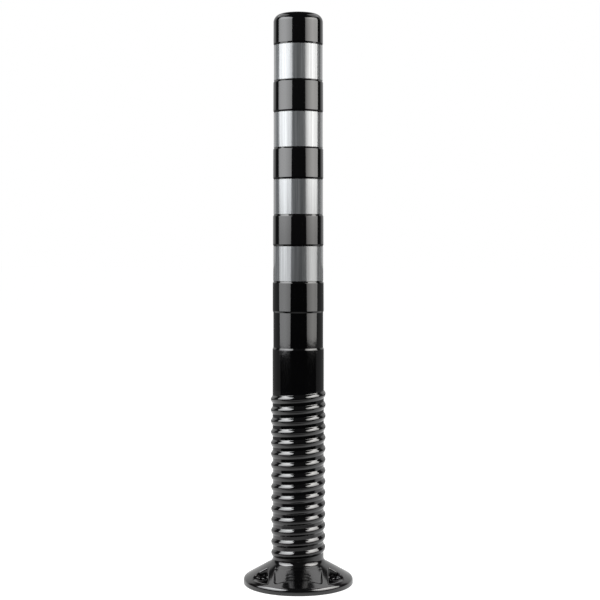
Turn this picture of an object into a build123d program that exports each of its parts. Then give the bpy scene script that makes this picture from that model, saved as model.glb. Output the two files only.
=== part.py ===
from build123d import *

import os
from math import atan2, cos, radians, sin, tan

# One-metre delineator post: a flexible moulding on a bolted foot, with four wrapped reflective bands.
# Millimetres. +Z up, origin on the road surface at the centre of the foot, front towards -Y.

os.makedirs("parts", exist_ok=True)

# ---- Driving dimensions -------------------------------------------------------------------------

# Overall
post_height = 1000.0  # road surface to the top of the plug
foot_od = 193.5  # foot across its rim
neck_top = 46.8  # where the foot ends and the ribbed length begins

# Tube
crown_od = 86.0  # tube just under its domed top
collar_od = 90.0  # plain collar above the ribs
flex_od = 90.0  # ribbed length, measured in the valleys
bore_od = 78.0  # smooth bore, foot to crown
crown_wall = 4.5  # thickness of the domed top
dome_radius = 14.5  # outer corner of the domed top
dome_rise = 1.5  # how far the crown bulges above its corner

# Recesses for the bands, counted from the top
recess_count = 5
band_count = 4  # the lowest recess stays empty
top_recess_drop = 88.0  # post top to the centre of the first recess
recess_pitch = 116.0
recess_depth = 1.2
recess_slope_run = 1.6  # height of each sloping shoulder
recess_shoulder_radius = 2.5

# Reflective bands
tape_height = 60.0
tape_margin = 3.5  # bare recess above and below the film
tape_thickness = 0.5
tape_glue = 0.05  # adhesive between film and tube
tape_lap = 12.0  # how far the end of the film overlaps its start

# Ribbed length
rib_count = 15
rib_pitch = 19.75
rib_rise = 3.0
rib_width = 15.0

# Top plug
plug_od = 24.0
plug_stem_od = 10.0
plug_clearance = 0.1
plug_proud = 2.0  # how far the disc stands above the crown
plug_seat_depth = 0.6
plug_edge_radius = 0.8
plug_stem_grip = 1.5  # how far the stem passes the inside of the crown

# Foot
cone_top_z = 41.5  # height at which the cone would meet the neck
cone_rim_z = 10.5  # height at which the cone would meet the rim
cone_fillet = 8.0
rim_radius = 8.0

# Fixing pockets: bolt circle, moulded seats and the channels open to the rim
bolt_circle = 150.0
bolt_count = 3
bolt_hole_od = 13.0
bolt_seat_od = 20.0
bolt_seat_height = 0.8
pocket_width = 25.2
pocket_floor_z = 14.6
pocket_round = 12.0  # outer back corner of a front pocket, and both corners of the rear one
pocket_inner_round = 1.5

# Front panel, a shallow recess in the cone with plain raised bars
panel_half_width = 41.0
panel_top_radius = 53.0
panel_lower_edge = 77.0  # distance of its straight lower edge from the post's axis
panel_depth = 1.2
panel_corner = 5.0
panel_bar_count = 3
panel_bar_length = 46.0
panel_bar_width = 2.6
panel_bar_pitch = 6.0
panel_bar_rise = 0.7
panel_bar_middle = 67.0  # distance of the middle bar from the post's axis

# Cored chambers under the foot
chamber_count = 3
chamber_arc = 54.0  # degrees
chamber_inner_radius = 50.0
chamber_outer_radius = 84.0
chamber_roof = 7.0  # wall left between a chamber and the cone

# ---- Worked out from the driving dimensions -----------------------------------------------------

bore_radius = bore_od / 2
foot_radius = foot_od / 2
flex_radius = flex_od / 2
crown_radius = crown_od / 2
collar_radius = collar_od / 2
recess_height = tape_height + 2 * tape_margin
flex_top = neck_top + rib_count * rib_pitch  # where the plain tube begins
crown_z = post_height - plug_proud
collar_top_z = post_height - top_recess_drop - (recess_count - 1) * recess_pitch - recess_height / 2
recess_centres = [post_height - top_recess_drop - k * recess_pitch for k in range(recess_count)]


def tube_radius(z):
    """Outer radius of the tapering tube between the collar and the crown."""
    share = (z - collar_top_z) / (crown_z - collar_top_z)
    return collar_radius + (crown_radius - collar_radius) * share


def cone_z(radius, below=0.0):
    """Height of the foot's cone at a radius, or of a surface that lies so far below it."""
    slope = atan2(cone_top_z - cone_rim_z, foot_radius - flex_radius)
    return cone_top_z - (radius - flex_radius) * tan(slope) - below / cos(slope)


def radial_plane(azimuth):
    """Upright plane through the post's axis whose own X axis points along the azimuth."""
    turn = radians(azimuth)
    return Plane(origin=(0, 0, 0), x_dir=(cos(turn), sin(turn), 0), z_dir=(sin(turn), -cos(turn), 0))


# ---- Foot: rim, cone, neck, pockets, panel and chambers -----------------------------------------

# Space taken out of the cone for the panel
with BuildPart() as panel_space:
    with BuildSketch(Plane.XZ):
        with BuildLine():
            Polyline(
                (flex_radius, cone_z(flex_radius, panel_depth)),
                (foot_radius, cone_z(foot_radius, panel_depth)),
                (foot_radius, cone_top_z + panel_depth),
                (flex_radius, cone_top_z + panel_depth),
                close=True,
            )
        make_face()
    revolve(axis=Axis.Z)
    with BuildSketch():
        with BuildLine():
            top_corner_y = -((panel_top_radius**2 - panel_half_width**2) ** 0.5)
            ThreePointArc(
                (-panel_half_width, top_corner_y),
                (0, -panel_top_radius),
                (panel_half_width, top_corner_y),
            )
            Polyline(
                (panel_half_width, top_corner_y),
                (panel_half_width, -panel_lower_edge),
                (-panel_half_width, -panel_lower_edge),
                (-panel_half_width, top_corner_y),
            )
        panel_plan = make_face()
        fillet(panel_plan.vertices(), radius=panel_corner)
    extrude(amount=cone_top_z + panel_depth, mode=Mode.INTERSECT)

# Plain bars that stand on the floor of the panel
with BuildPart() as panel_bars:
    with BuildSketch(Plane.XZ):
        with BuildLine():
            Polyline(
                (flex_radius, cone_z(flex_radius, 2 * panel_depth)),
                (foot_radius, cone_z(foot_radius, 2 * panel_depth)),
                (foot_radius, cone_z(foot_radius, panel_depth - panel_bar_rise)),
                (flex_radius, cone_z(flex_radius, panel_depth - panel_bar_rise)),
                close=True,
            )
        make_face()
    revolve(axis=Axis.Z)
    with BuildSketch():
        with Locations((0, -panel_bar_middle)):
            with GridLocations(0, panel_bar_pitch, 1, panel_bar_count):
                SlotOverall(panel_bar_length, panel_bar_width)
    extrude(amount=cone_top_z, mode=Mode.INTERSECT)

with BuildPart() as base_flange:
    with BuildSketch(Plane.XZ) as foot_profile:
        with BuildLine():
            Polyline(
                (bore_radius, 0),
                (foot_radius, 0),
                (foot_radius, cone_z(foot_radius)),
                (flex_radius, cone_top_z),
                (flex_radius, neck_top),
                (bore_radius, neck_top),
                close=True,
            )
        make_face()
        rim_corner = foot_profile.vertices().filter_by_position(
            Axis.X, foot_radius - 1, foot_radius + 1
        ).sort_by(Axis.Y)[-1]
        fillet(rim_corner, radius=rim_radius)
        neck_corner = foot_profile.vertices().filter_by_position(
            Axis.X, flex_radius - 0.01, flex_radius + 0.01
        ).sort_by(Axis.Y)[0]
        fillet(neck_corner, radius=cone_fillet)
    revolve(axis=Axis.Z)

    # Front pockets: channels parallel to Y through the two front bolt holes
    front_x = bolt_circle / 2 * cos(radians(30))
    front_y = -bolt_circle / 2 * sin(radians(30))
    with BuildSketch(Plane.XY.offset(pocket_floor_z)) as front_pockets:
        with Locations((front_x, front_y + pocket_width / 2)):
            Rectangle(pocket_width, foot_radius, align=(Align.CENTER, Align.MAX))
        back_corners = front_pockets.vertices().sort_by(Axis.Y)[-2:].sort_by(Axis.X)
        fillet(back_corners[-1], radius=pocket_round)
        inner_corner = front_pockets.vertices().sort_by(Axis.Y)[-2:].sort_by(Axis.X)[0]
        fillet(inner_corner, radius=pocket_inner_round)
        mirror(about=Plane.YZ)
    extrude(amount=cone_top_z, mode=Mode.SUBTRACT)

    # Rear pocket: a channel along +Y through the rear bolt hole
    with BuildSketch(Plane.XY.offset(pocket_floor_z)) as rear_pocket:
        with Locations((0, (bolt_circle - pocket_width) / 2)):
            Rectangle(pocket_width, foot_radius, align=(Align.CENTER, Align.MIN))
        fillet(rear_pocket.vertices().sort_by(Axis.Y)[:2], radius=pocket_round)
    extrude(amount=cone_top_z, mode=Mode.SUBTRACT)

    # Raised seats and bolt holes
    with BuildSketch(Plane.XY.offset(pocket_floor_z)):
        with PolarLocations(bolt_circle / 2, bolt_count, start_angle=90):
            Circle(bolt_seat_od / 2)
    extrude(amount=bolt_seat_height)
    with Locations(Plane.XY.offset(pocket_floor_z + bolt_seat_height)):
        with PolarLocations(bolt_circle / 2, bolt_count, start_angle=90):
            Hole(bolt_hole_od / 2)

    # Front panel
    add(panel_space.part, mode=Mode.SUBTRACT)
    add(panel_bars.part)

    # Cored chambers, open to the road, between the pockets
    for chamber in range(chamber_count):
        middle = 360 / chamber_count * chamber - 90
        with BuildSketch(radial_plane(middle - chamber_arc / 2)):
            with BuildLine():
                Polyline(
                    (chamber_inner_radius, 0),
                    (chamber_outer_radius, 0),
                    (chamber_outer_radius, cone_z(chamber_outer_radius, chamber_roof)),
                    (chamber_inner_radius, cone_z(chamber_inner_radius, chamber_roof)),
                    close=True,
                )
            make_face()
        revolve(axis=Axis.Z, revolution_arc=chamber_arc, mode=Mode.SUBTRACT)

base_flange.part.label = "base_flange"
export_step(base_flange.part, "parts/base_flange.step")

# ---- Ribbed length: one short ring of wall for each rib, cut in the valleys between them ---------

for number in range(1, rib_count + 1):
    ring_bottom = neck_top + (number - 1) * rib_pitch
    ring_top = ring_bottom + rib_pitch
    rib_z = ring_bottom + rib_pitch / 2

    with BuildPart() as flex_ring:
        with BuildSketch(Plane.XZ):
            with BuildLine():
                Polyline(
                    (flex_radius, rib_z + rib_width / 2),
                    (flex_radius, ring_top),
                    (bore_radius, ring_top),
                    (bore_radius, ring_bottom),
                    (flex_radius, ring_bottom),
                    (flex_radius, rib_z - rib_width / 2),
                )
                ThreePointArc(
                    (flex_radius, rib_z - rib_width / 2),
                    (flex_radius + rib_rise, rib_z),
                    (flex_radius, rib_z + rib_width / 2),
                )
            make_face()
        revolve(axis=Axis.Z)

    flex_ring.part.label = f"flex_ring_{number:02d}"
    export_step(flex_ring.part, f"parts/{flex_ring.part.label}.step")

# ---- Plain tube: collar, five recesses and the domed crown --------------------------------------

with BuildPart() as mast_tube:
    with BuildSketch(Plane.XZ) as tube_profile:
        shoulders = []
        with BuildLine():
            outline = [(bore_radius, flex_top), (collar_radius, flex_top)]
            for centre in reversed(recess_centres):
                low = centre - recess_height / 2
                high = centre + recess_height / 2
                floor_radius = tube_radius(centre) - recess_depth
                shoulders += [(tube_radius(low), low), (tube_radius(high), high)]
                outline += [
                    (tube_radius(low), low),
                    (floor_radius, low + recess_slope_run),
                    (floor_radius, high - recess_slope_run),
                    (tube_radius(high), high),
                ]
            outline += [(crown_radius, crown_z - dome_rise)]
            Polyline(*outline)
            ThreePointArc(
                (crown_radius, crown_z - dome_rise),
                (crown_radius / 2, crown_z - dome_rise / 4),
                (0, crown_z),
            )
            Polyline(
                (0, crown_z),
                (0, crown_z - crown_wall),
                (bore_radius, crown_z - crown_wall),
                (bore_radius, flex_top),
            )
        make_face()
        for radius, height in shoulders:
            shoulder = tube_profile.vertices().sort_by_distance((radius, height))[0]
            fillet(shoulder, radius=recess_shoulder_radius)
        dome_corner = tube_profile.vertices().sort_by_distance((crown_radius, crown_z))[0]
        fillet(dome_corner, radius=dome_radius)
        bore_corner = tube_profile.vertices().sort_by_distance((bore_radius, crown_z - crown_wall))[0]
        fillet(bore_corner, radius=dome_radius - crown_wall)
    revolve(axis=Axis.Z)
    with Locations(Plane.XY.offset(crown_z)):
        CounterBoreHole(
            radius=plug_stem_od / 2 + plug_clearance,
            counter_bore_radius=plug_od / 2 + plug_clearance,
            counter_bore_depth=plug_seat_depth,
            depth=2 * crown_wall,
        )

mast_tube.part.label = "mast_tube"
export_step(mast_tube.part, "parts/mast_tube.step")

# ---- Top plug: a disc on a stem, pressed into the crown -----------------------------------------

with BuildPart() as top_plug:
    plug_seat_z = crown_z - plug_seat_depth
    with BuildSketch(Plane.XY.offset(plug_seat_z)):
        Circle(plug_od / 2)
    extrude(amount=post_height - plug_seat_z)
    fillet(top_plug.edges().sort_by(Axis.Z)[-1], radius=plug_edge_radius)
    with BuildSketch(Plane.XY.offset(plug_seat_z)):
        Circle(plug_stem_od / 2)
    extrude(amount=-(crown_wall - plug_seat_depth + plug_stem_grip))

top_plug.part.label = "top_plug"
export_step(top_plug.part, "parts/top_plug.step")

# ---- Reflective bands: film wrapped round a recess, its end lapped over its start at the back ----

for number, centre in enumerate(recess_centres[:band_count], start=1):
    film_radius = tube_radius(centre) - recess_depth + tape_glue
    film_outside = film_radius + tape_thickness
    with BuildPart() as reflective_band:
        with BuildSketch(Plane.XY.offset(centre - tape_height / 2)):
            Circle(film_outside)
            Circle(film_radius, mode=Mode.SUBTRACT)
        extrude(amount=tape_height)
        with BuildSketch(Plane.XY.offset(centre - tape_height / 2)):
            Circle(film_outside + tape_thickness)
            Circle(film_radius, mode=Mode.SUBTRACT)
            with Locations((0, film_outside)):
                Rectangle(tape_lap, film_radius, mode=Mode.INTERSECT)
        extrude(amount=tape_height)

    reflective_band.part.label = f"reflective_band_{number}"
    export_step(reflective_band.part, f"parts/{reflective_band.part.label}.step")
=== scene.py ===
from math import atan2, ceil, cos, hypot, pi, radians, sin, tan

import bmesh
import bpy
import numpy as np
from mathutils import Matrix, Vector


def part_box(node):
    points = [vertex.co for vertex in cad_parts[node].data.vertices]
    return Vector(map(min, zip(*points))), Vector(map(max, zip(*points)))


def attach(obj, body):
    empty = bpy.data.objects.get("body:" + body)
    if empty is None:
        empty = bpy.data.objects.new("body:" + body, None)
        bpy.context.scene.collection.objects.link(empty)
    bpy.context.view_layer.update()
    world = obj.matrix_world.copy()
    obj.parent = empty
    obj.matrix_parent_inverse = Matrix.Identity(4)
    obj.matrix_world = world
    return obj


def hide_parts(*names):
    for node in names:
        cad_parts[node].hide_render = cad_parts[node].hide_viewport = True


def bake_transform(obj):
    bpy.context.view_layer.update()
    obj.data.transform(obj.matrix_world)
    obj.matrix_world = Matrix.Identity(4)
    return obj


# One-metre delineator post: a flexible black moulding on a bolted foot, with four reflective bands.
# Metres. +Z up, origin on the road surface at the centre of the foot, front towards -Y.

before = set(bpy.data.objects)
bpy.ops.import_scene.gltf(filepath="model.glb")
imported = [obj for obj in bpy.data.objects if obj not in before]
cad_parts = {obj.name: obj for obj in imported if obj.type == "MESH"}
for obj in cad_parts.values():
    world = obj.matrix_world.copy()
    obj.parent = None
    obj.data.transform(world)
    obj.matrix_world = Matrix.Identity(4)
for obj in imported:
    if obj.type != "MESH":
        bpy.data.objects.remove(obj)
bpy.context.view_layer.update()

# ---- Foot ---------------------------------------------------------------------------------------
# The broad end of the one-piece polyurethane moulding: a shallow cone with three open pockets for
# the road bolts, a sunken panel with plain bars at the front, and cored chambers underneath. Its
# edges come soft out of the mould, and its skin is duller than the tube's.

foot_low, foot_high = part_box("base_flange")
foot_radius = foot_high.x
neck_top = foot_high.z
neck_radius = 0.045
bore_radius = 0.039
cone_top, cone_rim = 0.0415, 0.0105
cone_slope = atan2(cone_top - cone_rim, foot_radius - neck_radius)
bolt_radius = 0.075
pocket_floor = 0.0146
pocket_half = 0.0126
rim_rounding, neck_rounding = 0.008, 0.011


def cone_height(radius, below=0.0):
    """Height of the foot's cone at a radius, or of a surface that lies so far below it."""
    return cone_top - (radius - neck_radius) * tan(cone_slope) - below / cos(cone_slope)


def rounded(corners, chord=radians(8)):
    """Outline through (radius, height, rounding) corners, with each rounding cut into chords."""
    outline = []
    for k, (radius, height, rounding) in enumerate(corners):
        here = Vector((radius, height))
        if not rounding:
            outline.append(tuple(here))
            continue
        back = (Vector(corners[k - 1][:2]) - here).normalized()
        ahead = (Vector(corners[(k + 1) % len(corners)][:2]) - here).normalized()
        half = back.angle(ahead) / 2
        centre = here + (back + ahead).normalized() * (rounding / sin(half))
        first = here + back * (rounding / tan(half)) - centre
        last = here + ahead * (rounding / tan(half)) - centre
        turn = atan2(first.x * last.y - first.y * last.x, first.dot(last))
        chords = max(2, ceil(abs(turn) / chord))
        for step in range(chords + 1):
            angle = atan2(first.y, first.x) + turn * step / chords
            outline.append((centre.x + rounding * cos(angle), centre.y + rounding * sin(angle)))
    return outline


def spun(name, outline, sweep=2 * pi, start=0.0, steps=160):
    """Closed (radius, height) outline turned round the post's axis, from one azimuth onwards."""
    whole = sweep > 6.28
    bpy.ops.object.select_all(action="DESELECT")
    bpy.ops.mesh.primitive_circle_add(
        vertices=len(outline), radius=1, fill_type="NOTHING" if whole else "NGON"
    )
    piece = bpy.context.object
    piece.name = name
    for vertex, (radius, height) in zip(piece.data.vertices, outline):
        vertex.co = (radius * cos(start), radius * sin(start), height)
    bpy.ops.object.mode_set(mode="EDIT")
    bpy.ops.mesh.select_all(action="SELECT")
    bpy.ops.mesh.spin(steps=steps, angle=sweep, center=(0, 0, 0), axis=(0, 0, -1))
    bpy.ops.mesh.select_all(action="SELECT")
    bpy.ops.mesh.remove_doubles(threshold=1e-6)
    bpy.ops.mesh.dissolve_degenerate(threshold=1e-7)
    bpy.ops.mesh.select_all(action="SELECT")
    bpy.ops.mesh.normals_make_consistent(inside=False)
    bpy.ops.object.mode_set(mode="OBJECT")
    return piece


def block(name, low, high):
    """Box between two corners."""
    bpy.ops.object.select_all(action="DESELECT")
    size = Vector(high) - Vector(low)
    bpy.ops.mesh.primitive_cube_add(size=1, location=(Vector(low) + Vector(high)) / 2, scale=size)
    bpy.ops.object.transform_apply(location=True, rotation=True, scale=True)
    piece = bpy.context.object
    piece.name = name
    return piece


def round_edges(piece, wanted, radius, segments=8):
    """Bevels the edges for which wanted(one end, other end) is true."""
    bpy.ops.object.mode_set(mode="EDIT")
    bpy.ops.mesh.select_mode(type="EDGE")
    bpy.ops.mesh.select_all(action="DESELECT")
    shape = bmesh.from_edit_mesh(piece.data)
    for edge in shape.edges:
        edge.select_set(wanted(edge.verts[0].co, edge.verts[1].co))
    bmesh.update_edit_mesh(piece.data)
    bpy.ops.mesh.bevel(offset=radius, segments=segments, affect="EDGES")
    bpy.ops.object.mode_set(mode="OBJECT")


def apply_modifier(piece, kind, **settings):
    """Adds a modifier with its settings and applies it."""
    bpy.ops.object.select_all(action="DESELECT")
    piece.select_set(True)
    bpy.context.view_layer.objects.active = piece
    modifier = piece.modifiers.new(kind, kind)
    for key, value in settings.items():
        setattr(modifier, key, value)
    bpy.ops.object.modifier_apply(modifier=modifier.name)


def cut(piece, tool, operation="DIFFERENCE"):
    """Takes the tool's shape out of a piece, or keeps or adds it."""
    apply_modifier(piece, "BOOLEAN", operation=operation, object=tool, solver="EXACT")
    bpy.data.objects.remove(tool)


def joined(piece, others):
    """Makes the others part of the piece."""
    bpy.ops.object.select_all(action="DESELECT")
    for other in [*others, piece]:
        other.select_set(True)
    bpy.context.view_layer.objects.active = piece
    bpy.ops.object.join()
    return piece


# The neck is left longer than it will be, so that its end isn't softened
spare_neck = neck_top + 0.012
neck_foot = cone_top - 0.001
foot = spun(
    "foot",
    rounded(
        [
            (bore_radius, 0, 0),
            (foot_radius, 0, 0.0005),
            (foot_radius, cone_height(foot_radius), rim_rounding),
            (neck_radius, neck_foot, neck_rounding),
            (neck_radius, spare_neck, 0),
            (bore_radius, spare_neck, 0),
        ]
    ),
)

# Front pockets, each rounded at its outer back corner, and the rear one, rounded at both
above = 0.08  # clear of the cone
pocket_reach = 0.12  # past the rim
pocket_rounding, small_rounding = 0.012, 0.0015
front_x, front_y = bolt_radius * cos(radians(30)), -bolt_radius * sin(radians(30))
for side in (-1, 1):
    pocket = block(
        "pocket",
        (side * front_x - pocket_half, -pocket_reach, pocket_floor),
        (side * front_x + pocket_half, front_y + pocket_half, above),
    )
    back_y = front_y + pocket_half
    outer_x, inner_x = side * (front_x + pocket_half), side * (front_x - pocket_half)
    for corner_x, radius in ((outer_x, pocket_rounding), (inner_x, small_rounding)):
        round_edges(
            pocket,
            lambda a, b: all(hypot(p.x - corner_x, p.y - back_y) < 1e-4 for p in (a, b)),
            radius,
        )
    cut(foot, pocket)
pocket = block(
    "pocket",
    (-pocket_half, bolt_radius - pocket_half, pocket_floor),
    (pocket_half, pocket_reach, above),
)
round_edges(
    pocket,
    lambda a, b: all(abs(p.y - bolt_radius + pocket_half) < 1e-4 for p in (a, b))
    and abs(a.z - b.z) > 0.01,
    pocket_rounding,
)
cut(foot, pocket)

# Bolt seats and holes
seat_radius, seat_rise, seat_root, hole_radius = 0.010, 0.0008, 0.003, 0.0065
for turn in (90, 210, 330):
    x, y = bolt_radius * cos(radians(turn)), bolt_radius * sin(radians(turn))
    for radius, low, high, operation in (
        (seat_radius, pocket_floor - seat_root, pocket_floor + seat_rise, "UNION"),
        (hole_radius, -0.01, above, "DIFFERENCE"),
    ):
        bpy.ops.object.select_all(action="DESELECT")
        bpy.ops.mesh.primitive_cylinder_add(
            vertices=48, radius=radius, depth=high - low, location=(x, y, (low + high) / 2)
        )
        cut(foot, bpy.context.object, operation)

# Sunken panel: the part of a conical layer between an arc and a straight lower edge
panel_depth = 0.0012
panel_half, panel_lower, panel_top_radius = 0.041, 0.077, 0.053
panel_rounding = 0.005
panel = spun(
    "panel",
    [
        (panel_top_radius, cone_height(panel_top_radius, panel_depth)),
        (foot_radius, cone_height(foot_radius, panel_depth)),
        (foot_radius, above),
        (panel_top_radius, above),
    ],
    sweep=radians(130),
    start=radians(-155),
    steps=48,
)
plan = block("plan", (-panel_half, -panel_lower, -0.01), (panel_half, 0, 2 * above))
round_edges(
    plan,
    lambda a, b: all(abs(p.y + panel_lower) < 1e-4 for p in (a, b)) and abs(a.z - b.z) > 0.01,
    panel_rounding,
)
cut(panel, plan, "INTERSECT")
cut(foot, panel)

# Cored chambers between the pockets
chamber_inner, chamber_outer, chamber_roof, chamber_arc = 0.050, 0.084, 0.007, 54
for middle in (-90, 30, 150):
    chamber = spun(
        "chamber",
        [
            (chamber_inner, -0.01),
            (chamber_outer, -0.01),
            (chamber_outer, cone_height(chamber_outer, chamber_roof)),
            (chamber_inner, cone_height(chamber_inner, chamber_roof)),
        ],
        sweep=radians(chamber_arc),
        start=radians(middle - chamber_arc / 2),
        steps=24,
    )
    cut(foot, chamber)

# Soft moulded edges, then the spare neck is cut off square where the ribbed length begins
apply_modifier(foot, "REMESH", mode="VOXEL", voxel_size=0.0011, adaptivity=0)
apply_modifier(foot, "SMOOTH", factor=0.5, iterations=5)
bpy.ops.object.mode_set(mode="EDIT")
bpy.ops.mesh.select_all(action="SELECT")
bpy.ops.mesh.bisect(
    plane_co=(0, 0, neck_top), plane_no=(0, 0, 1), use_fill=True, clear_outer=True
)
bpy.ops.object.mode_set(mode="OBJECT")

# Plain raised bars on the panel's floor
bar_length, bar_width, bar_rise, bar_root = 0.046, 0.0026, 0.0007, 0.0015
bars = []
for distance in (0.061, 0.067, 0.073):
    bar = block(
        "bar",
        (-bar_length / 2, -distance - bar_width / 2, -bar_root),
        (bar_length / 2, -distance + bar_width / 2, bar_rise),
    )
    round_edges(bar, lambda a, b: abs(a.z - b.z) > 0.001, bar_width * 0.49, 5)
    round_edges(bar, lambda a, b: min(a.z, b.z) > bar_rise - 1e-5, 0.0003, 2)
    bpy.ops.object.mode_set(mode="EDIT")
    for slice_x in np.linspace(-0.4, 0.4, 15) * bar_length:
        bpy.ops.mesh.select_all(action="SELECT")
        bpy.ops.mesh.bisect(plane_co=(slice_x, 0, 0), plane_no=(1, 0, 0))
    bpy.ops.object.mode_set(mode="OBJECT")
    for vertex in bar.data.vertices:
        vertex.co.z += cone_height(hypot(vertex.co.x, vertex.co.y), panel_depth)
    bars.append(bar)
joined(foot, bars)
bpy.ops.object.shade_smooth_by_angle(angle=radians(50))


def new_finish(name):
    """Empty node material: its nodes, its links, its shader and a source of Object coordinates."""
    material = bpy.data.materials.new(name)
    material.use_nodes = True
    nodes, links = material.node_tree.nodes, material.node_tree.links
    return material, nodes, links, nodes["Principled BSDF"], nodes.new("ShaderNodeTexCoord")


def noise(nodes, links, place, scale, detail=2.0, stretch=(1, 1, 1)):
    """Cloudy pattern of a scale per metre, stretched along the axes."""
    mapping = nodes.new("ShaderNodeMapping")
    mapping.inputs["Scale"].default_value = stretch
    links.new(place.outputs["Object"], mapping.inputs["Vector"])
    texture = nodes.new("ShaderNodeTexNoise")
    texture.inputs["Scale"].default_value = scale
    texture.inputs["Detail"].default_value = detail
    links.new(mapping.outputs["Vector"], texture.inputs["Vector"])
    return texture.outputs["Fac"]


def between(nodes, links, value, low, high, out_low, out_high):
    """Carries a value's range over to another range, and stops at its ends."""
    node = nodes.new("ShaderNodeMapRange")
    for socket, number in zip(node.inputs[1:5], (low, high, out_low, out_high)):
        socket.default_value = number
    links.new(value, node.inputs["Value"])
    return node.outputs["Result"]


def moulding(name, smooth, dull, peel, grain, dust, ior):
    """Black polyurethane: clouded gloss, orange peel and fine grain in its skin, and dust specks.

    peel and grain are heights in metres, and a higher ior reflects more.
    """
    material, nodes, links, shader, place = new_finish(name)
    cloud = noise(nodes, links, place, 14, 4)
    links.new(between(nodes, links, cloud, 0.35, 0.7, smooth, dull), shader.inputs["Roughness"])
    specks = between(nodes, links, noise(nodes, links, place, 1500, 1), 0.72, 0.8, 0, dust)
    tone = nodes.new("ShaderNodeMath")
    tone.operation = "ADD"
    links.new(between(nodes, links, cloud, 0.3, 0.7, 0.0008, 0.0014), tone.inputs[0])
    links.new(specks, tone.inputs[1])
    colour = nodes.new("ShaderNodeCombineColor")
    for channel, tint in (("Red", 1.0), ("Green", 1.0), ("Blue", 1.12)):
        part = nodes.new("ShaderNodeMath")
        part.operation = "MULTIPLY"
        part.inputs[1].default_value = tint
        links.new(tone.outputs["Value"], part.inputs[0])
        links.new(part.outputs["Value"], colour.inputs[channel])
    links.new(colour.outputs["Color"], shader.inputs["Base Color"])
    coarse = nodes.new("ShaderNodeBump")
    coarse.inputs["Strength"].default_value = 1.0
    coarse.inputs["Distance"].default_value = peel
    links.new(noise(nodes, links, place, 170, 1), coarse.inputs["Height"])
    fine = nodes.new("ShaderNodeBump")
    fine.inputs["Strength"].default_value = 1.0
    fine.inputs["Distance"].default_value = grain
    links.new(noise(nodes, links, place, 1800, 2), fine.inputs["Height"])
    links.new(coarse.outputs["Normal"], fine.inputs["Normal"])
    links.new(fine.outputs["Normal"], shader.inputs["Normal"])
    shader.inputs["IOR"].default_value = ior
    return material


foot_finish = moulding("moulded_foot", 0.09, 0.15, 0.00002, 0.000005, 0.02, 1.75)
foot.data.materials.append(foot_finish)
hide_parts("base_flange")
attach(foot, "base")

# ---- Ribbed length ------------------------------------------------------------------------------
# The flexible wall between the foot and the plain tube, where the post bends under a wheel. One
# rounded rib winds up it fifteen times and fades out at both ends. It is part of the same
# moulding, and is divided here into fifteen rings.

rib_pitch = 0.0194
rib_start = 0.04955  # height of the crest where it sets out, at the back
rib_turns = 15
rib_rise = 0.003
rib_lower_flank, rib_upper_flank = 0.0074, 0.0063
rib_fade = 0.16  # share of a turn over which an end fades out
rib_edge_fade = 0.003  # height over which the rib dies away at the foot and at the collar
ring_count = 15
ring_columns, ring_rows = 168, 44
ribbed_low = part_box("flex_ring_01")[0].z
ribbed_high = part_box(f"flex_ring_{ring_count:02d}")[1].z


def eased(share):
    """Smooth step from 0 to 1."""
    share = np.clip(share, 0, 1)
    return share * share * (3 - 2 * share)


def rib_radius(azimuth, height):
    """Radius of the ribbed wall, for arrays of azimuths counted from the back, and heights."""
    climbed = (height - rib_start) / rib_pitch - azimuth / (2 * pi)
    turn = np.clip(np.round(climbed), 0, rib_turns - 1)
    off = (climbed - turn) * rib_pitch
    flank = np.where(off < 0, rib_lower_flank, rib_upper_flank)
    swell = (1 - np.clip(off / flank, -1, 1) ** 2) ** 1.3
    along = turn + azimuth / (2 * pi)
    ends = eased(along / rib_fade) * eased((rib_turns - along) / rib_fade)
    edges = eased((height - ribbed_low) / rib_edge_fade) * eased(
        (ribbed_high - height) / rib_edge_fade
    )
    return neck_radius + rib_rise * swell * ends * edges


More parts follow.
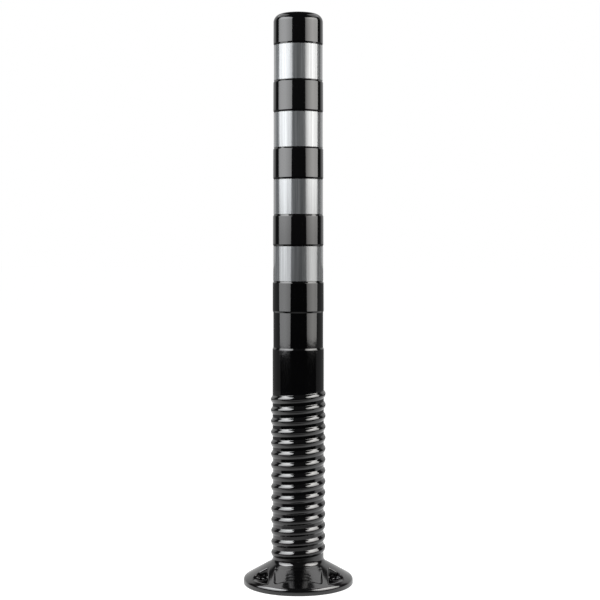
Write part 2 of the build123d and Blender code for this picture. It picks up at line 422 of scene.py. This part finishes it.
rib_finish = moulding("moulded_ribs", 0.06, 0.09, 0.000003, 0.000001, 0.012, 1.7)
for number in range(1, ring_count + 1):
    low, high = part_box(f"flex_ring_{number:02d}")
    bpy.ops.object.select_all(action="DESELECT")
    bpy.ops.mesh.primitive_grid_add(
        x_subdivisions=ring_columns, y_subdivisions=ring_rows + 3, size=1
    )
    ring = bpy.context.object
    ring.name = f"ribbed_ring_{number:02d}"
    place = np.zeros(len(ring.data.vertices) * 3)
    ring.data.vertices.foreach_get("co", place)
    place = place.reshape(-1, 3) + 0.5
    azimuth = np.round(place[:, 0] * ring_columns) / ring_columns * 2 * pi
    row = np.round(place[:, 1] * (ring_rows + 3))
    height = np.where(
        row <= ring_rows + 1,
        low.z + (high.z - low.z) * np.minimum(row, ring_rows) / ring_rows,
        low.z,
    )
    outside = (row <= ring_rows) | (row == ring_rows + 3)
    radius = np.where(outside, rib_radius(azimuth % (2 * pi), height), bore_radius)
    turned = azimuth + pi / 2
    place = np.stack([radius * np.cos(turned), radius * np.sin(turned), height], 1)
    ring.data.vertices.foreach_set("co", place.ravel())
    bpy.ops.object.mode_set(mode="EDIT")
    bpy.ops.mesh.select_all(action="SELECT")
    bpy.ops.mesh.remove_doubles(threshold=1e-6)
    bpy.ops.object.mode_set(mode="OBJECT")

    # The outer wall's own slopes, so that no seam shows from ring to ring
    mesh = ring.data
    mesh.polygons.foreach_set("use_smooth", [True] * len(mesh.polygons))
    normals = np.zeros((len(mesh.loops), 3))
    step = 1e-5
    for face in mesh.polygons:
        if abs(face.normal.z) > 0.95 or hypot(face.center.x, face.center.y) < neck_radius - 0.001:
            continue
        for corner in face.loop_indices:
            x, y, z = mesh.vertices[mesh.loops[corner].vertex_index].co
            normals[corner] = (atan2(y, x), hypot(x, y), z)
    wall = normals[:, 1] > 0
    turned, height = normals[wall, 0], normals[wall, 2]
    azimuth = (turned - pi / 2) % (2 * pi)
    radius = rib_radius(azimuth, height)
    lean = (rib_radius((azimuth + step) % (2 * pi), height) - radius) / step
    rise = (rib_radius(azimuth, height + step) - rib_radius(azimuth, height - step)) / (2 * step)
    normals[wall] = np.stack(
        [
            lean * np.sin(turned) + radius * np.cos(turned),
            radius * np.sin(turned) - lean * np.cos(turned),
            -radius * rise,
        ],
        1,
    )
    normals[wall] /= np.linalg.norm(normals[wall], axis=1)[:, None]
    mesh.normals_split_custom_set(normals.tolist())

    mesh.materials.append(rib_finish)
    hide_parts(f"flex_ring_{number:02d}")
    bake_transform(ring)

# ---- Mast tube ----------------------------------------------------------------------------------
# The plain upper length of the moulding: a collar above the ribs, five shallow recesses that keep
# the bands from being scraped off, and a domed crown with a seat for the plug. The lowest recess
# is left empty.

mast_low, mast_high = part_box("mast_tube")
crown_top = mast_high.z
crown_radius = 0.043
recess_centres = [0.912, 0.796, 0.680, 0.564, 0.448]
recess_half = 0.0335
recess_depth = 0.0012
shoulder_run = 0.0028
collar_top = recess_centres[-1] - recess_half
ledge_rounding, floor_rounding = 0.0022, 0.0005
plug_seat_radius, plug_hole_radius, plug_seat_depth = 0.0121, 0.0051, 0.0006
crown_wall = 0.0045
crown_rounding, crown_inner_rounding = 0.0145, 0.010
dome_rise = 0.0015


def tube_radius(height):
    """Outer radius of the tapering tube between the collar and the crown."""
    share = (height - collar_top) / (crown_top - collar_top)
    return neck_radius + (crown_radius - neck_radius) * share


corners = [(bore_radius, mast_low.z, 0), (neck_radius, mast_low.z, 0)]
for centre in reversed(recess_centres):
    low, high = centre - recess_half, centre + recess_half
    floor = tube_radius(centre) - recess_depth
    corners += [
        (tube_radius(low), low, ledge_rounding),
        (floor, low + shoulder_run, floor_rounding),
        (floor, high - shoulder_run, floor_rounding),
        (tube_radius(high), high, ledge_rounding),
    ]
corners += [(crown_radius, crown_top - dome_rise, crown_rounding)]
for radius in (0.026, 0.022, 0.018, 0.015, plug_seat_radius):
    corners += [(radius, crown_top - dome_rise * (radius / crown_radius) ** 2, 0)]
corners += [
    (plug_seat_radius, crown_top - plug_seat_depth, 0),
    (plug_hole_radius, crown_top - plug_seat_depth, 0),
    (plug_hole_radius, crown_top - crown_wall, 0),
    (bore_radius, crown_top - crown_wall, crown_inner_rounding),
]
mast = spun("mast", rounded(corners, radians(6)))
bpy.ops.object.shade_smooth_by_angle(angle=radians(50))
apply_modifier(mast, "WEIGHTED_NORMAL", keep_sharp=True, weight=80)
tube_finish = moulding("moulded_tube", 0.045, 0.085, 0.00002, 0.000002, 0.012, 1.5)
mast.data.materials.append(tube_finish)
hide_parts("mast_tube")
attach(mast, "mast")

# ---- Top plug -----------------------------------------------------------------------------------
# A moulded disc on a stem, pressed into the crown to close the bore. Its edge is rounded and its
# face is very slightly domed.

plug_low, plug_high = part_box("top_plug")
plug_radius, stem_radius = plug_high.x, 0.005
plug_edge, stem_edge = 0.0008, 0.0006
plug = spun(
    "plug",
    rounded(
        [
            (0, plug_low.z, 0),
            (stem_radius, plug_low.z, stem_edge),
            (stem_radius, crown_top - plug_seat_depth, 0),
            (plug_radius, crown_top - plug_seat_depth, 0),
            (plug_radius, plug_high.z - 0.0003, plug_edge),
            (plug_radius * 0.6, plug_high.z - 0.0001, 0),
            (0, plug_high.z, 0),
        ]
    ),
    steps=96,
)
bpy.ops.object.shade_smooth_by_angle(angle=radians(50))
apply_modifier(plug, "WEIGHTED_NORMAL", keep_sharp=True, weight=80)
plug.data.materials.append(moulding("moulded_plug", 0.12, 0.2, 0.00001, 0.000004, 0.012, 1.5))
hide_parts("top_plug")
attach(plug, "mast")

# ---- Reflective bands ---------------------------------------------------------------------------
# Silver-white retroreflective film under a clear face, wrapped once round each recess. Its end is
# lapped over its start at the back. The metallised layer has fine streaks up and down it.

film_thickness = 0.0005
film_edge = 0.00012
lap_width = 0.012

silver_film, nodes, links, shader, place = new_finish("silver_film")
streaks = noise(nodes, links, place, 1, 3, (420, 420, 4))
broad = noise(nodes, links, place, 1, 2, (130, 130, 9))
mix = nodes.new("ShaderNodeMath")
mix.operation = "ADD"
links.new(between(nodes, links, streaks, 0.35, 0.65, 0.088, 0.15), mix.inputs[0])
links.new(between(nodes, links, broad, 0.3, 0.7, -0.01, 0.01), mix.inputs[1])
colour = nodes.new("ShaderNodeCombineColor")
for channel, tint in (("Red", 0.96), ("Green", 1.0), ("Blue", 1.03)):
    part = nodes.new("ShaderNodeMath")
    part.operation = "MULTIPLY"
    part.inputs[1].default_value = tint
    links.new(mix.outputs["Value"], part.inputs[0])
    links.new(part.outputs["Value"], colour.inputs[channel])
links.new(colour.outputs["Color"], shader.inputs["Base Color"])
links.new(between(nodes, links, streaks, 0.3, 0.7, 0.17, 0.25), shader.inputs["Roughness"])
ripple = nodes.new("ShaderNodeBump")
ripple.inputs["Strength"].default_value = 1.0
ripple.inputs["Distance"].default_value = 0.000008
links.new(streaks, ripple.inputs["Height"])
links.new(ripple.outputs["Normal"], shader.inputs["Normal"])
shader.inputs["Metallic"].default_value = 0.45
shader.inputs["Coat Weight"].default_value = 1.0
shader.inputs["Coat Roughness"].default_value = 0.04
shader.inputs["Coat IOR"].default_value = 1.5

for number in (1, 2, 3, 4):
    low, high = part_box(f"reflective_band_{number}")
    outside = high.x
    band = spun(
        f"band_{number}",
        rounded(
            [
                (outside - film_thickness, low.z, 0),
                (outside, low.z, film_edge),
                (outside, high.z, film_edge),
                (outside - film_thickness, high.z, 0),
            ],
            radians(30),
        ),
    )
    lap_turn = lap_width / outside
    lap = spun(
        "lap",
        rounded(
            [
                (outside - film_edge, low.z, 0),
                (outside + film_thickness, low.z, film_edge),
                (outside + film_thickness, high.z, film_edge),
                (outside - film_edge, high.z, 0),
            ],
            radians(30),
        ),
        sweep=lap_turn,
        start=pi / 2 - lap_turn / 2,
        steps=10,
    )
    joined(band, [lap])
    bpy.ops.object.shade_smooth_by_angle(angle=radians(50))
    apply_modifier(band, "WEIGHTED_NORMAL", keep_sharp=True, weight=80)
    band.data.materials.append(silver_film)
    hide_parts(f"reflective_band_{number}")
    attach(band, "mast")

# ---- Studio -------------------------------------------------------------------------------------
# A pale floor and backdrop, with a tall soft light on either side of the post and two weaker lights
# overhead. What the floor and backdrop show to the post's gloss differs from what the camera sees.

scene = bpy.context.scene
scene.view_settings.view_transform = "Standard"

bpy.ops.object.select_all(action="DESELECT")
bpy.ops.mesh.primitive_plane_add(size=60, location=(0, 0, -0.0005))
studio_floor = bpy.context.object
studio_floor.name = "studio_floor"
pale_floor = bpy.data.materials.new("pale_floor")
pale_floor.use_nodes = True
nodes, links = pale_floor.node_tree.nodes, pale_floor.node_tree.links
nodes.clear()
out = nodes.new("ShaderNodeOutputMaterial")
seen = nodes.new("ShaderNodeLightPath")
position = nodes.new("ShaderNodeTexCoord")
axes = nodes.new("ShaderNodeSeparateXYZ")
links.new(position.outputs["Object"], axes.inputs["Vector"])


def product(nodes, links, one, other):
    """One value times another."""
    node = nodes.new("ShaderNodeMath")
    node.operation = "MULTIPLY"
    links.new(one, node.inputs[0])
    links.new(other, node.inputs[1])
    return node.outputs["Value"]


# Painted light and shade seen only in the post's gloss: painted glow rings round the post with a
# painted shadow band between them, and painted glow all over the floor behind it
reach = nodes.new("ShaderNodeVectorMath")
reach.operation = "LENGTH"
links.new(position.outputs["Object"], reach.inputs[0])
ring_glow = nodes.new("ShaderNodeValToRGB")
glow_stops = ((0.19, 0.6), (0.22, 0.05), (0.30, 0.05), (0.34, 0.5), (0.52, 0.5), (0.62, 0.02))
for place, level in glow_stops[1:-1]:
    ring_glow.color_ramp.elements.new(place)
for element, (place, level) in zip(ring_glow.color_ramp.elements, glow_stops):
    element.position = place
    element.color = (level, level, level, 1)
links.new(reach.outputs["Value"], ring_glow.inputs["Fac"])
glow = nodes.new("ShaderNodeMath")
glow.operation = "MAXIMUM"
links.new(ring_glow.outputs["Color"], glow.inputs[0])
links.new(between(nodes, links, axes.outputs["Y"], -0.25, -0.08, 0, 1), glow.inputs[1])
far = between(nodes, links, reach.outputs["Value"], 1.3, 1.8, 1.0, 0.2)
# Painted floor glow and painted shadow, emitted for reflections only and fading far from the post
painted_floor_glow = nodes.new("ShaderNodeEmission")
links.new(product(nodes, links, glow.outputs["Value"], far), painted_floor_glow.inputs["Strength"])
plain = nodes.new("ShaderNodeEmission")
plain.inputs["Color"].default_value = (1, 1, 1, 1)
plain.inputs["Strength"].default_value = 0.97
matte = nodes.new("ShaderNodeBsdfDiffuse")
matte.inputs["Color"].default_value = (0.3, 0.3, 0.3, 1)
both = nodes.new("ShaderNodeAddShader")
links.new(plain.outputs["Emission"], both.inputs[0])
links.new(matte.outputs["BSDF"], both.inputs[1])
choice = nodes.new("ShaderNodeMixShader")
links.new(seen.outputs["Is Camera Ray"], choice.inputs["Fac"])
links.new(painted_floor_glow.outputs["Emission"], choice.inputs[1])
links.new(both.outputs["Shader"], choice.inputs[2])
links.new(choice.outputs["Shader"], out.inputs["Surface"])
studio_floor.data.materials.append(pale_floor)

world = bpy.data.worlds.new("studio")
scene.world = world
world.use_nodes = True
nodes, links = world.node_tree.nodes, world.node_tree.links
nodes.clear()
out = nodes.new("ShaderNodeOutputWorld")
sky = nodes.new("ShaderNodeBackground")
white = nodes.new("ShaderNodeBackground")
for shade in (sky, white):
    shade.inputs["Color"].default_value = (1, 1, 1, 1)
white.inputs["Strength"].default_value = 1.0
seen = nodes.new("ShaderNodeLightPath")
direction = nodes.new("ShaderNodeTexCoord")
axes = nodes.new("ShaderNodeSeparateXYZ")
links.new(direction.outputs["Generated"], axes.inputs["Vector"])
bearing = nodes.new("ShaderNodeMath")
bearing.operation = "ARCTAN2"
links.new(axes.outputs["X"], bearing.inputs[0])
links.new(axes.outputs["Y"], bearing.inputs[1])
aside = nodes.new("ShaderNodeMath")
aside.operation = "ABSOLUTE"
links.new(bearing.outputs["Value"], aside.inputs[0])
backdrop = product(
    nodes,
    links,
    between(nodes, links, aside.outputs["Value"], radians(50), radians(58), 0.65, 0),
    between(nodes, links, axes.outputs["Z"], 0.54, 0.64, 1, 0),
)
room = nodes.new("ShaderNodeMath")
room.operation = "ADD"
room.inputs[1].default_value = 0.04
links.new(backdrop, room.inputs[0])
links.new(room.outputs["Value"], sky.inputs["Strength"])
choice = nodes.new("ShaderNodeMixShader")
links.new(seen.outputs["Is Camera Ray"], choice.inputs["Fac"])
links.new(sky.outputs["Background"], choice.inputs[1])
links.new(white.outputs["Background"], choice.inputs[2])
links.new(choice.outputs["Shader"], out.inputs["Surface"])

# Each light's place, width, colour and glow across its width. It narrows towards its foot, and
# grows brighter up its height
lights = (
    ("left", -1.02, -0.4865, 1.67, (0.98, 0.99, 1.0), (0.45, 0.8, 0.95, 1.0, 0.85, 0.6)),
    ("right", 1.235, -0.5305, 1.83, (1.0, 0.985, 0.96), (0.3, 0.7, 0.92, 1.0, 0.8, 0.6)),
)
across_stops = (0.0, 0.22, 0.4, 0.54, 0.75, 1.0)
up_stops = (
    (0.0, 0.55),
    (0.2, 0.58),
    (0.31, 0.95),
    (0.48, 1.0),
    (0.59, 1.0),
    (0.66, 1.25),
    (1.0, 1.25),
)
light_low, light_high, brightest = 0.328, 1.8, 7.6
for side, x, y, width, tint, glow in lights:
    height = light_high - light_low
    bpy.ops.object.light_add(type="AREA", location=(x, y, light_low + height / 2))
    lamp = bpy.context.object
    lamp.name = f"softbox_{side}"
    lamp.rotation_euler = Vector((x, y, 0)).to_track_quat("Z", "Y").to_euler()
    lamp.data.shape = "RECTANGLE"
    lamp.data.size = width
    lamp.data.size_y = height
    lamp.data.energy = brightest * pi * width * height
    lamp.data.color = tint
    lamp.visible_camera = False
    lamp.data.use_nodes = True
    nodes, links = lamp.data.node_tree.nodes, lamp.data.node_tree.links
    surface = nodes.new("ShaderNodeNewGeometry")
    axes = nodes.new("ShaderNodeSeparateXYZ")
    links.new(surface.outputs["Parametric"], axes.inputs["Vector"])
    strengths = []
    for axis, stops in (("X", zip(across_stops, glow)), ("Y", up_stops)):
        ramp = nodes.new("ShaderNodeValToRGB")
        stops = list(stops)
        for place, level in stops[1:-1]:
            ramp.color_ramp.elements.new(place)
        for element, (place, level) in zip(ramp.color_ramp.elements, stops):
            element.position = place
            element.color = (level, level, level, 1)
        links.new(axes.outputs[axis], ramp.inputs["Fac"])
        strengths.append(ramp.outputs["Color"])
    from_middle = nodes.new("ShaderNodeMath")
    from_middle.operation = "ABSOLUTE"
    links.new(between(nodes, links, axes.outputs["X"], 0, 1, -0.5, 0.5), from_middle.inputs[0])
    lit = nodes.new("ShaderNodeMath")
    lit.operation = "LESS_THAN"
    links.new(from_middle.outputs["Value"], lit.inputs[0])
    links.new(between(nodes, links, axes.outputs["Y"], 0, 0.45, 0.36, 0.5), lit.inputs[1])
    profile = product(nodes, links, *strengths)
    profile = product(nodes, links, profile, lit.outputs["Value"])
    links.new(profile, nodes["Emission"].inputs["Strength"])

# Two weaker lights overhead, either side of the post
overhead_width, overhead_length, overhead_glow = 0.9, 1.4, 1.5
for x in (-0.95, 0.95):
    bpy.ops.object.light_add(type="AREA", location=(x, 0.5, 2.0))
    lamp = bpy.context.object
    lamp.name = "overhead_light"
    lamp.data.shape = "RECTANGLE"
    lamp.data.size, lamp.data.size_y = overhead_width, overhead_length
    lamp.data.energy = overhead_glow * pi * overhead_width * overhead_length
    lamp.visible_camera = False

bpy.ops.object.camera_add(
    location=(0.0031, -2.369, 0.597), rotation=(radians(90 - 2.343), 0, 0)
)
camera = bpy.context.object
camera.data.sensor_width = 36
camera.data.lens = 81.1
scene.camera = camera
